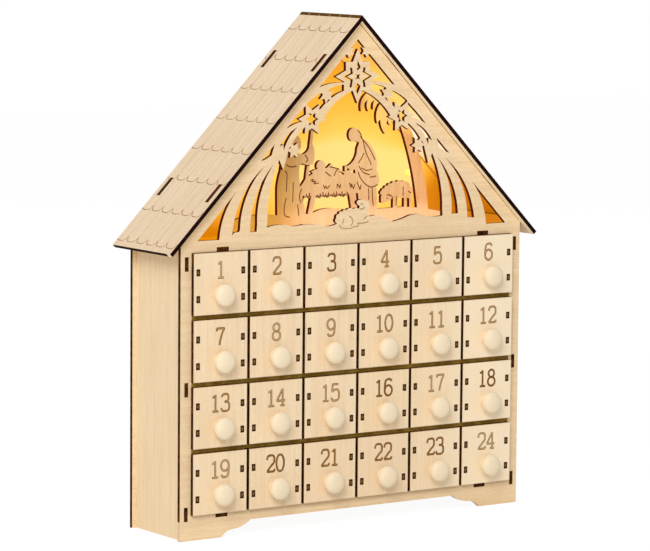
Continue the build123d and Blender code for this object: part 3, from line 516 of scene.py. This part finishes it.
def roof_side(name, side):
    """A roof panel with burnt slots, lit from below inside the gable, the right one palest half way up."""
    normal = (side * SLOPE_Z, 0, SLOPE_X)
    f = ply_sheet(name, ROOF_TONE, normal, GRAIN_X, (0.0, -side * SLOPE, 0.0), ROOF_CHAR)
    inside = (f.nz < -0.5) * (f.y > INSIDE_FRONT) * (f.y < INSIDE_BACK) * (f.z > EAVE)
    # painted light: the underside of the roof's overhang in front of the panel is painted pale
    f.colour = f.mix((f.nz < -0.5) * (f.y < PANEL_FRONT), f.colour, linear(255, 238, 202))
    up = (EAVE_OUT[0] - abs(f.x)) * SLOPE_X + (f.z - EAVE_OUT[1]) * SLOPE_Z
    for slot_y in ROOF_SLOTS_Y:
        for slot_up in ROOF_SLOTS_UP:
            rim = f.within(f.y - slot_y, RIM_HALF_WIDE, RIM_SOFT)
            rim = rim * f.within(up - slot_up, RIM_HALF_LONG, RIM_SOFT)
            f.colour = f.mix(rim, f.colour, SLOT_RIM)
    if side < 0:
        return lit_by_bulbs(f, inside)
    pale = f.mix(f.rise(f.z, *YELLOW_Z), linear(255, 243, 212), linear(248, 210, 114))
    share = 0.88 * f.rise(f.z, *PALE_Z) - 0.5 * f.rise(f.z, *FADING_Z)
    return lit_by_bulbs(f, inside, (share, pale))


def back_sheet():
    """The back panel, with painted shade in a brown line where the roof meets it inside."""
    f = ply_sheet("back_ply", SIDE_TONE, (0, 1, 0), GRAIN_X)
    under_roof = EAVE + RIDGE_IN - f.z - abs(f.x) * math.tan(SLOPE)
    # painted shade in the inside corner under the roof
    roof_corner_shade = (1 - f.rise(under_roof, 0.8, 2.0), linear(150, 84, 14))
    return lit_by_bulbs(f, (f.ny < -0.5) * (f.z > FLOOR_TOP), roof_corner_shade)


front_ply = front_sheet()
left_side_ply, right_side_ply = side_sheet("left_side_ply", -1), side_sheet("right_side_ply", 1)
scene_ply, inner_floor_ply, back_ply = scene_panel(), inner_floor(), back_sheet()
left_roof_ply = roof_side("left_roof_ply", -1)
right_roof_ply = roof_side("right_roof_ply", 1)
drawer_ply = drawer_wood()
box_plastic = moulded("box_plastic", linear(44, 45, 48), 2.2, 0.48)
switch_plastic = moulded("switch_plastic", linear(196, 196, 193), 2.6, 0.4)
socket_plastic = moulded("socket_plastic", linear(52, 52, 53), 2.4, 0.45)
wire_jacket = moulded("wire_jacket", linear(46, 46, 47), 1.6, 0.42)
# border and heart of a number's strokes, for a light, a middle and a strong burn
NUMBER_BURNS = {
    "light": (scorched_line("light_edge", linear(132, 92, 44), linear(156, 116, 66)),
              scorched_line("light_heart", linear(206, 172, 124), linear(226, 194, 148))),
    "middle": (scorched_line("middle_edge", linear(112, 72, 22), linear(140, 96, 40)),
               scorched_line("middle_heart", linear(192, 150, 90), linear(214, 176, 120))),
    "strong": (scorched_line("strong_edge", linear(84, 46, 6), linear(112, 70, 20)),
               scorched_line("strong_heart", linear(150, 102, 42), linear(182, 134, 70))),
}
scene_line = scorched_line("scene_line", linear(112, 60, 14), linear(140, 86, 32))
fringe_line = scorched_line("fringe_line", linear(78, 22, 4), linear(104, 40, 10))
lamb_line = scorched_line("lamb_line", linear(172, 138, 88), linear(190, 158, 108))
roof_line = scorched_line("roof_line", linear(150, 110, 64), linear(174, 136, 92))
board_line = scorched_line("board_line", linear(210, 180, 144), linear(220, 192, 158))
gap_shadow_line = scorched_line("gap_shadow_line", linear(112, 78, 34), linear(150, 112, 62))

FINISHES = {
    "front_panel": front_ply, "back_panel": back_ply, "nativity_panel": scene_ply,
    "left_side_panel": left_side_ply, "right_side_panel": right_side_ply,
    "left_roof_panel": left_roof_ply, "right_roof_panel": right_roof_ply,
    "base_panel": base_ply, "scene_floor": inner_floor_ply,
    "battery_box": box_plastic, "battery_door": box_plastic, "battery_contacts": spring_steel(),
    "switch_slider": switch_plastic, "light_wire": wire_jacket,
}
sleeve, lens = cell_jacket(), bulb_lens()
STARTS = {"drawer_": drawer_ply, "shelf_": shelf_ply, "divider_": divider_ply,
          "battery_1": sleeve, "battery_2": sleeve, "led_bulb": lens, "led_socket": socket_plastic}
for name, node in nodes.items():
    finish = FINISHES.get(name) or next(m for start, m in STARTS.items() if name.startswith(start))
    node.data.materials.clear()
    node.data.materials.append(finish)


# engraved lines, and a painted shadow line along the gable's edge


def flat_lines(strokes, half_width, half_height):
    """A mesh of flat rounded lines along the strokes, lying in the XY plane, in millimetres."""
    curve = bpy.data.curves.new("lines", "CURVE")
    curve.dimensions = "3D"
    curve.bevel_depth = half_width
    curve.bevel_resolution = 1
    curve.resolution_u = 5
    curve.use_fill_caps = True
    for points, closed in strokes:
        spline = curve.splines.new("NURBS")
        spline.points.add(len(points) - 1)
        for point, (x, y) in zip(spline.points, points):
            point.co = (x, y, 0.0, 1.0)
        spline.order_u = min(3, len(points))
        spline.use_cyclic_u = closed
        spline.use_endpoint_u = not closed
    holder = bpy.data.objects.new("lines", curve)
    mesh = bpy.data.meshes.new_from_object(holder)
    bpy.data.objects.remove(holder)
    bpy.data.curves.remove(curve)
    mesh.transform(Matrix.Diagonal((1.0, 1.0, half_height / half_width, 1.0)))
    return mesh


def engraved(name, layers, place, body, cuts=()):
    """A piece of lines, engraved ones and the gable's painted shadow line: each layer is (strokes, half
    width, half height, finish).
    """
    shape = bmesh.new()
    mesh = bpy.data.meshes.new(name)
    for index, (strokes, half_width, half_height, finish) in enumerate(layers):
        lines = flat_lines(strokes, half_width, half_height)
        older = len(shape.faces)
        shape.from_mesh(lines)
        shape.faces.ensure_lookup_table()
        for face in shape.faces[older:]:
            face.material_index = index
        bpy.data.meshes.remove(lines)
        mesh.materials.append(finish)
    for point, outward in cuts:
        parts = shape.verts[:] + shape.edges[:] + shape.faces[:]
        made = bmesh.ops.bisect_plane(
            shape, geom=parts, plane_co=point, plane_no=outward, clear_outer=True)
        rims = [part for part in made["geom_cut"] if isinstance(part, bmesh.types.BMEdge)]
        bmesh.ops.holes_fill(shape, edges=rims, sides=0)
    bmesh.ops.transform(shape, matrix=Matrix.Scale(MM, 4) @ place, verts=shape.verts)
    bmesh.ops.recalc_face_normals(shape, faces=shape.faces)
    shape.to_mesh(mesh)
    shape.free()
    piece = bpy.data.objects.new(name, mesh)
    bpy.context.collection.objects.link(piece)
    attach(piece, body)


def facing_front(x, y, z):
    """Puts a drawing's right and up along x and z, on a face that looks to the front."""
    return Matrix.Translation((x, y, z)) @ Matrix.Rotation(math.radians(90), 4, "X")


# digits on a box one high, as strokes of control points

OVAL_REACH = 1.082  # control points outside the oval that they draw


def oval(x, y, half_wide, half_tall):
    """A closed stroke whose control points lie on an eight-sided ring."""
    turns = [math.radians(45 * step + 22.5) for step in range(8)]
    wide, tall = OVAL_REACH * half_wide, OVAL_REACH * half_tall
    return [(x + wide * math.cos(turn), y + tall * math.sin(turn)) for turn in turns], True


DIGITS = {
    "0": [oval(0.28, 0.5, 0.25, 0.5)],
    "1": [([(0.3, 0.0), (0.3, 1.0)], False), ([(0.3, 0.99), (0.24, 0.86), (0.1, 0.85)], False),
          ([(0.1, 0.02), (0.5, 0.02)], False)],
    "2": [([(0.06, 0.74), (0.06, 0.9), (0.16, 1.0), (0.3, 1.0), (0.44, 1.0), (0.53, 0.88), (0.53, 0.74),
            (0.53, 0.56), (0.3, 0.36), (0.05, 0.04)], False),
          ([(0.04, 0.03), (0.54, 0.03)], False), ([(0.54, 0.02), (0.55, 0.18)], False)],
    "3": [([(0.07, 0.82), (0.09, 0.94), (0.2, 1.0), (0.29, 1.0), (0.42, 1.0), (0.5, 0.9), (0.5, 0.78),
            (0.5, 0.65), (0.41, 0.55), (0.24, 0.55)], False),
          ([(0.24, 0.55), (0.44, 0.55), (0.55, 0.42), (0.55, 0.28), (0.55, 0.12), (0.44, 0.0), (0.28, 0.0),
            (0.14, 0.0), (0.06, 0.08), (0.04, 0.2)], False)],
    "4": [([(0.41, 1.0), (0.03, 0.3)], False), ([(0.02, 0.3), (0.58, 0.3)], False),
          ([(0.41, 1.0), (0.41, 0.0)], False), ([(0.26, 0.02), (0.56, 0.02)], False)],
    "5": [([(0.1, 0.98), (0.5, 0.98)], False), ([(0.12, 1.0), (0.09, 0.52)], False),
          ([(0.09, 0.52), (0.16, 0.62), (0.26, 0.66), (0.32, 0.66), (0.46, 0.66), (0.55, 0.5), (0.55, 0.33),
            (0.55, 0.14), (0.44, 0.0), (0.27, 0.0), (0.14, 0.0), (0.06, 0.08), (0.04, 0.2)], False)],
    "6": [oval(0.29, 0.31, 0.25, 0.31),
          ([(0.5, 0.84), (0.46, 1.0), (0.28, 1.0), (0.04, 0.92), (0.04, 0.34)], False)],
    "7": [([(0.04, 0.97), (0.55, 0.97)], False), ([(0.05, 0.99), (0.04, 0.8)], False),
          ([(0.54, 0.98), (0.3, 0.56), (0.22, 0.0)], False)],
    "8": [oval(0.29, 0.77, 0.2, 0.23), oval(0.29, 0.27, 0.25, 0.27)],
}
DIGITS["9"] = [([(0.58 - x, 1.0 - y) for x, y in points], closed) for points, closed in DIGITS["6"]]
DIGIT_WIDE, DIGIT_GAP, DIGIT_TALL, DIGIT_SPREAD = 0.58, 0.06, 12.1, 13.0
NUMBER_UP = 9.7  # above the plate's middle
NUMBER_EDGE, NUMBER_HEART = (0.8, 0.03), (0.36, 0.05)  # half width and half height of the strokes
LIGHT_NUMBERS = (1, 8, 9, 11, 14, 15, 17, 19, 24)
STRONG_NUMBERS = (3, 16, 18, 20, 21, 22, 23)


def number_strokes(text):
    """The strokes of a number, centred on the origin."""
    wide = len(text) * DIGIT_WIDE + (len(text) - 1) * DIGIT_GAP
    strokes = []
    for index, digit in enumerate(text):
        left = index * (DIGIT_WIDE + DIGIT_GAP) - wide / 2
        for points, closed in DIGITS[digit]:
            placed = [((x + left) * DIGIT_SPREAD, (y - 0.5) * DIGIT_TALL) for x, y in points]
            strokes.append((placed, closed))
    return strokes


for index in range(COLUMNS * DRAWER_ROWS):
    row, column = divmod(index, COLUMNS)
    x = GRID_LEFT + (column + 0.5) * PITCH
    z = GRID_LOW + (DRAWER_ROWS - 0.5 - row) * PITCH
    number = index + 1
    burn = "light" if number in LIGHT_NUMBERS else "strong" if number in STRONG_NUMBERS else "middle"
    edge, heart = NUMBER_BURNS[burn]
    strokes = number_strokes(str(number))
    engraved(f"number_{number:02d}", [(strokes, *NUMBER_EDGE, edge), (strokes, *NUMBER_HEART, heart)],
             facing_front(x, PLATE_FRONT, z + NUMBER_UP), f"drawer_{number:02d}")

# roof shingles: rows of scallops, with a faint board line up the slope from each cusp
ROWS, ROW_PITCH, ROW_FIRST = 8, 29.7, 5.5
SCALLOP, CUSP, SHOULDER, BOWL, TORN_BOWL = 13.05, 3.9, 0.2, -0.7, -0.6  # width, and heights along a scallop
SCALLOP_LINE, BOARD_LINE = (0.3, 0.04), (0.25, 0.03)  # half width and half height
STEPS = range(-3, 4)  # scallops of a row, from the middle of the roof
BOARD_STOP, RIDGE_STOP = 0.6, 0.8  # board lines end below the next row or the ridge
ROOF_MARGIN = 0.3  # lines stop this far inside the roof's front and back edge
# the rows and scallops that a roof slot interrupts, and the slots' span across the roof
SLOT_ROWS, SLOT_STEPS, SLOT_SPAN = (2, 6), (-3, 2), (29.4, 34.6)
scallops, boards = [], []
for row in range(ROWS):
    up = ROW_FIRST + row * ROW_PITCH
    above = min(up + ROW_PITCH - BOARD_STOP, ROOF_LONG - RIDGE_STOP)
    for step in STEPS:
        a = step * SCALLOP
        start = [(a, up + CUSP), (a + 0.09 * SCALLOP, up + SHOULDER)]
        end = [(a + 0.91 * SCALLOP, up + SHOULDER), (a + SCALLOP, up + CUSP)]
        if row in SLOT_ROWS and step in SLOT_STEPS:
            near, far = sorted(math.copysign(edge, a) for edge in SLOT_SPAN)
            scallops += [(start + [(near, up + TORN_BOWL)], False), ([(far, up + TORN_BOWL)] + end, False)]
        else:
            bowl = [(a + share * SCALLOP, up + BOWL) for share in (0.32, 0.68)]
            scallops.append((start + bowl + end, False))
        boards.append(([(a, up + CUSP), (a, above)], False))
for side, name in ((-1, "left"), (1, "right")):
    across = Vector((0, side, 0))
    upward = Vector((-side * SLOPE_X, 0, SLOPE_Z))
    outward = Vector((side * SLOPE_Z, 0, SLOPE_X))
    place = Matrix.Translation((side * EAVE_OUT[0], 0, EAVE_OUT[1]))
    place = place @ Matrix((across, upward, outward)).transposed().to_4x4()
    first, last = sorted((side * ROOF_FRONT, side * ROOF_BACK))
    engraved(f"{name}_roof_shingles",
             [(scallops, *SCALLOP_LINE, roof_line), (boards, *BOARD_LINE, board_line)],
             place, "case",
             cuts=[((first + ROOF_MARGIN, 0, 0), (-1, 0, 0)), ((last - ROOF_MARGIN, 0, 0), (1, 0, 0))])

# lines on the scene: folds of the robes, hay, fringe and fleece, in millimetres from the middle of the eave
ROBES = [
    [(17.6, 70.9), (19.9, 69.0), (21.1, 66.0), (22.6, 62.7), (23.6, 58.6), (24.8, 54.9), (26.4, 51.6),
     (28.6, 48.5), (29.8, 45.2)],
    [(19.9, 66.4), (22.6, 63.4), (25.8, 60.4), (29.0, 56.2), (31.8, 51.4), (33.6, 48.4)],
    [(23.2, 54.2), (21.9, 51.0), (19.4, 48.4), (18.6, 46.7)],
    [(21.1, 43.5), (23.8, 41.8), (27.4, 41.0), (30.7, 42.2)],
    [(19.1, 44.7), (20.6, 41.9), (24.3, 38.8), (28.8, 38.0)], [(28.8, 36.3), (31.5, 35.9), (34.4, 36.9)],
    [(18.4, 40.5), (19.2, 37.5), (22.5, 33.0), (27.5, 29.3), (31.6, 28.4), (36.0, 30.4)],
    [(27.8, 28.2), (28.2, 24.0), (27.9, 19.6)], [(30.9, 28.2), (31.2, 22.3), (32.2, 14.9)],
    [(-46.4, 43.5), (-44.5, 43.0), (-44.5, 37.2), (-45.0, 28.6)],
    [(-39.0, 35.2), (-39.1, 28.3), (-39.4, 20.7)],
    [(-45.0, 24.3), (-47.1, 17.1), (-46.6, 12.0), (-44.8, 10.4), (-41.8, 10.0)],
    [(-35.1, 19.1), (-34.4, 15.1), (-34.1, 10.7)],
    [(-45.2, 48.1), (-43.0, 46.7), (-39.9, 46.1), (-36.4, 46.9)],
    [(-29.1, 54.7), (-26.3, 51.9), (-26.8, 50.3), (-28.2, 49.3)],
    [(-32.1, 48.3), (-29.0, 47.1), (-25.1, 46.7)],
]
SWADDLING = [[(-10.9, 41.7), (-8.7, 39.8), (-5.9, 38.2)], [(-7.0, 45.2), (-3.4, 44.3), (1.0, 43.4)],
             [(1.0, 43.4), (-1.5, 42.4), (-2.1, 39.9), (-3.4, 38.3)], [(1.0, 41.2), (2.8, 40.8), (4.6, 39.2)]]
HAY = [[(-24.1, 36.0), (-21.0, 36.6), (-22.9, 34.8), (-19.1, 35.3), (-21.0, 33.4), (-16.6, 33.8)],
       [(-12.6, 32.3), (-11.5, 29.3), (-10.4, 31.5), (-9.2, 29.2), (-6.7, 31.7)],
       [(-0.4, 28.9), (-0.3, 32.5), (2.3, 29.3), (2.6, 32.4)],
       [(10.5, 32.8), (12.0, 28.9), (12.4, 32.0), (14.2, 28.2), (15.6, 31.8)],
       [(17.4, 33.2), (20.1, 27.2), (21.0, 30.9)]]
# ragged ends of the hay, along the teeth of the manger's lower edge
HAY_PITCH, HAY_ENDS, HAY_BARE = 2.4, 17, (3, 4)  # spacing, number, and the ends without a line
FRINGE = [[(HAY_PITCH * step - 29.7, 25.2 + 0.45 * (step * 2 % 5)),
           (HAY_PITCH * step - 29.5, 23.2 + 0.5 * (step * 2 % 3))]
          for step in range(HAY_ENDS) if step not in HAY_BARE]
MANGER_END = [[(-31.5, 30.0), (-33.5, 27.0), (-33.6, 22.5), (-32.0, 20.0)], [(-30.0, 25.0), (-30.8, 21.0)]]
SHEEP = [[(44.0, 22.0), (45.5, 22.8), (48.0, 21.6), (50.0, 20.5)], [(44.2, 19.8), (45.0, 20.2)],
         [(59.3, 28.0), (58.9, 24.5), (59.3, 21.0)],
         [(63.4, 24.4), (65.0, 23.8), (66.2, 22.8)], [(53.0, 21.0), (52.8, 14.0)]]
LAMB = [[(-6.5, 11.3), (-4.5, 10.3), (-3.0, 8.0), (-3.0, 6.5), (-4.0, 4.8), (-5.0, 4.4)],
        [(-11.0, 9.5), (-11.5, 7.0), (-12.5, 5.2)],
        [(-15.0, 5.5), (-14.0, 3.5), (-12.0, 2.2), (-9.0, 2.3), (-5.0, 2.0), (-3.5, 2.8), (0.0, 3.5),
         (1.8, 3.5), (2.0, 5.0), (0.8, 5.5)],
        [(1.0, 5.7), (6.0, 5.3), (9.0, 6.0), (11.0, 6.5)], [(6.5, 8.5), (8.5, 9.2), (9.5, 10.5)],
        [(3.2, 20.2), (3.7, 20.2)],
        [(4.0, 19.3), (6.0, 19.3)], [(6.5, 16.5), (7.3, 17.5)], [(3.0, 15.8), (6.5, 15.8), (7.0, 16.5)]]


def curves(lines):
    """Each line as one open, smooth stroke."""
    return [(points, False) for points in lines]


def angled(lines):
    """Each leg of a zigzag as its own stroke, so that its corners stay sharp."""
    return [([a, b], False) for points in lines for a, b in zip(points, points[1:])]


# half width and half height of the lines on the figures, the fringe and the gable's edge
FIGURE_LINE, FRINGE_LINE, GABLE_LINE = (0.42, 0.04), (0.45, 0.05), (0.3, 0.04)
GABLE_EDGE = [[(side * 0.6, RIDGE_IN - 0.9), (side * 149.3, 0.7)] for side in (1, -1)]
on_scene, on_panel = (facing_front(0, face, EAVE) for face in (SCENE_FRONT, PANEL_FRONT))
figure_strokes = curves(ROBES + SWADDLING + MANGER_END + SHEEP) + angled(HAY)
engraved("scene_engraving",
         [(figure_strokes, *FIGURE_LINE, scene_line), (curves(FRINGE), *FRINGE_LINE, fringe_line)],
         on_scene, "case")
engraved("lamb_engraving", [(curves(LAMB), *FIGURE_LINE, lamb_line)], on_panel, "case")
# painted shadow: a dark line along both slopes of the front panel, where the roof meets the gable
engraved("gable_gap_shadow", [(curves(GABLE_EDGE), *GABLE_LINE, gap_shadow_line)], on_panel, "case")


# stage, light and camera, in metres and watts

FLOOR_HALF, FLOOR_DROP = 4.0, 0.0002
FLOOR_SHINE, FLOOR_WHITE = 1.05, 0.9  # strength of the floor's own white, and its share for the camera
WHITE = (1.0, 1.0, 1.0, 1.0)
PAPER, PAPER_CLOUD = (0.92, 0.92, 0.92, 1.0), (0.90, 0.90, 0.90, 1.0)
SKY = 0.49  # strength of the sky as a light
LAMP_AIM = Vector((0.0, 0.0, 0.18))
# name, direction from the object, distance, size and power
LAMPS = (("key", (-0.62, -0.60, 0.52), 3.0, 1.5, 51.0), ("back_fill", (0.6, 0.7, 0.4), 2.2, 1.6, 9.0))
CAMERA_AT = Vector((-1412.5, -2026.0, 456.5)) * MM
CAMERA_YAW, CAMERA_TILT, CAMERA_ROLL = math.radians(34.82), math.radians(6.45), math.radians(-0.49)
SENSOR, FOCAL, CAMERA_FAR = 36.0, 187.96, 30.0


def studio():
    """A white floor that keeps the object's shadow, a white sky and two lamps."""
    low = cad_box[0].z
    shape = bmesh.new()
    bmesh.ops.create_grid(shape, x_segments=2, y_segments=2, size=FLOOR_HALF)
    bmesh.ops.transform(shape, matrix=Matrix.Translation((0.0, 0.0, low - FLOOR_DROP)), verts=shape.verts)
    mesh = bpy.data.meshes.new("floor")
    shape.to_mesh(mesh)
    shape.free()
    floor = bpy.data.objects.new("floor", mesh)
    bpy.context.collection.objects.link(floor)
    f = Finish("floor_paper", Roughness=0.9, Specular_IOR_Level=0.0)
    f.wear(f.mix(f.noise(f.spot, 0.02, 2.0, 0.5) * 0.2, PAPER, PAPER_CLOUD))
    shine = f.node("ShaderNodeEmission", None, {"Color": WHITE, "Strength": FLOOR_SHINE})
    blend = f.node("ShaderNodeMixShader", None, {0: f.seen() * FLOOR_WHITE, 2: shine})
    f.tree.links.new(f.shader.outputs[0], blend.socket.node.inputs[1])
    f.tree.links.new(blend.socket, f.tree.nodes["Material Output"].inputs["Surface"])
    mesh.materials.append(f.material)

    world = bpy.data.worlds.new("studio")
    bpy.context.scene.world = world
    world.use_nodes = True
    sky = Kit(world.node_tree)
    background = world.node_tree.nodes["Background"]
    background.inputs["Color"].default_value = WHITE
    sky.feed(background.inputs["Strength"], SKY + (1 - SKY) * sky.seen())

    for name, toward, far, size, power in LAMPS:
        lamp = bpy.data.lights.new(name, "AREA")
        lamp.shape, lamp.size, lamp.energy = "DISK", size, power
        holder = bpy.data.objects.new(name, lamp)
        bpy.context.collection.objects.link(holder)
        toward = Vector(toward).normalized()
        holder.location = LAMP_AIM + toward * far
        holder.rotation_euler = toward.to_track_quat("Z", "Y").to_euler()


def photo_camera():
    """The camera at the photo's place."""
    yaw, tilt, roll = CAMERA_YAW, CAMERA_TILT, CAMERA_ROLL
    ahead = Vector((math.sin(yaw) * math.cos(tilt), math.cos(yaw) * math.cos(tilt), -math.sin(tilt)))
    right = Vector((math.cos(yaw), -math.sin(yaw), 0.0))
    down = ahead.cross(right)
    level, plumb = right, down
    right = math.cos(roll) * level + math.sin(roll) * plumb
    down = math.cos(roll) * plumb - math.sin(roll) * level
    lens = bpy.data.cameras.new("camera")
    lens.sensor_width, lens.lens = SENSOR, FOCAL
    lens.clip_end = CAMERA_FAR
    camera = bpy.data.objects.new("camera", lens)
    bpy.context.collection.objects.link(camera)
    turned = Matrix((right, -down, -ahead)).transposed().to_4x4()
    camera.matrix_world = Matrix.Translation(CAMERA_AT) @ turned
    bpy.context.scene.camera = camera


studio()
photo_camera()
bpy.context.scene.view_settings.view_transform = "Standard"
